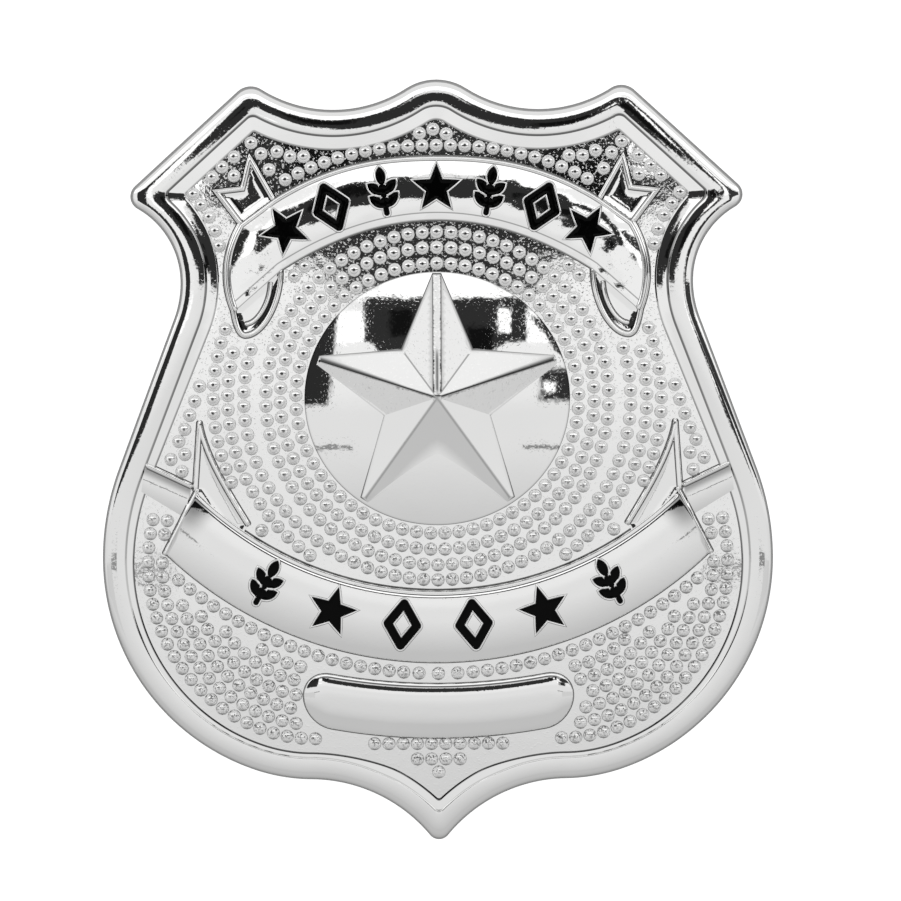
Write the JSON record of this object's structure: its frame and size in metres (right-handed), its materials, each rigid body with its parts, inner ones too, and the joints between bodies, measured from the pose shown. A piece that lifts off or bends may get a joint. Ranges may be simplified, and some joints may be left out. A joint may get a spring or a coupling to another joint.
{
  "type": "police badge",
  "caption": "Shield-shaped metal badge with a raised rim, a domed centre bearing a five-pointed star, two ribbons with black enamel ornament and a blank nameplate.",
  "frame": {"origin": "middle of the badge's length and width, on the surface it lies on", "axes": "+X to the right across the face, +Y towards the middle top tip, +Z out of the face"},
  "size_m": [0.067, 0.076, 0.0083],
  "materials": {
    "plated_metal": "bright nickel plate, fine cast grain in the field",
    "black_enamel": "glossy black enamel",
    "pin_steel": "plain plated steel"
  },
  "bodies": {
    "root": {"shield": "plated_metal", "upper_enamel": "black_enamel", "lower_enamel": "black_enamel", "brooch_pin": "pin_steel"}
  },
  "joints": []
}
